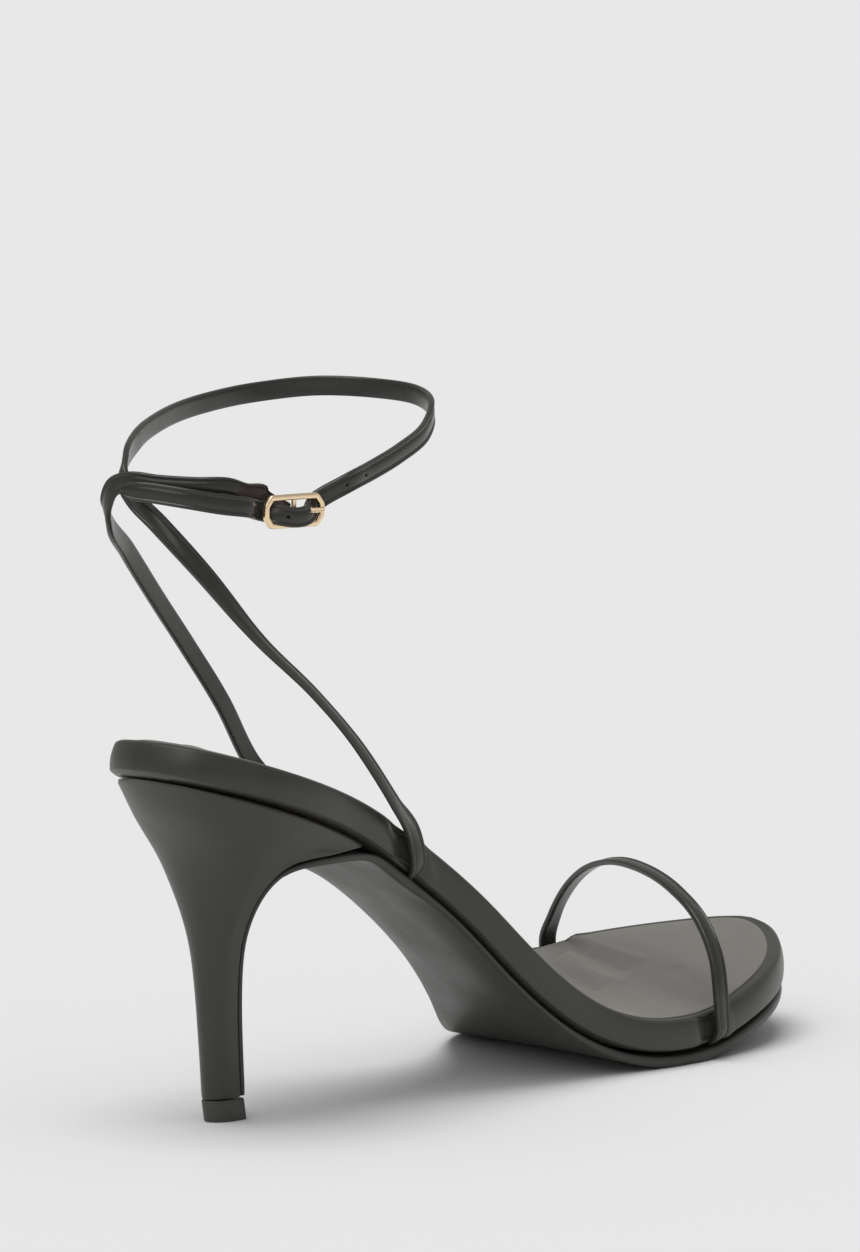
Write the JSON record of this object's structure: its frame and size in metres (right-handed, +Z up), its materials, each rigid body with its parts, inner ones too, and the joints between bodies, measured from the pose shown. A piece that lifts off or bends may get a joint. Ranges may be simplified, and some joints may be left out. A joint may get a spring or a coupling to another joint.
{
  "type": "heeled sandal",
  "caption": "Women's open strappy sandal with a thin toe strap, ankle straps that cross behind the ankle, a small buckle and a slim high heel.",
  "frame": {"origin": "centre of the heel tip's face, on the floor", "axes": "+X towards the toe, +Y to the inner (medial) side of the right foot, +Z up"},
  "size_m": [0.2367, 0.0817, 0.1642],
  "materials": {
    "wrapped_leather": "satin charcoal faux leather with a very fine grain",
    "sock_lining": "soft matte charcoal lining",
    "outsole_rubber": "matte black",
    "light_gold": "polished pale gold plating"
  },
  "bodies": {
    "root": {"footbed": "wrapped_leather", "insole": "sock_lining", "heel": "wrapped_leather", "heel_tip": "outsole_rubber", "outsole": "outsole_rubber", "toe_strap": "wrapped_leather", "ankle_straps": "wrapped_leather", "buckle_frame": "light_gold", "buckle_prong": "light_gold"}
  },
  "joints": []
}
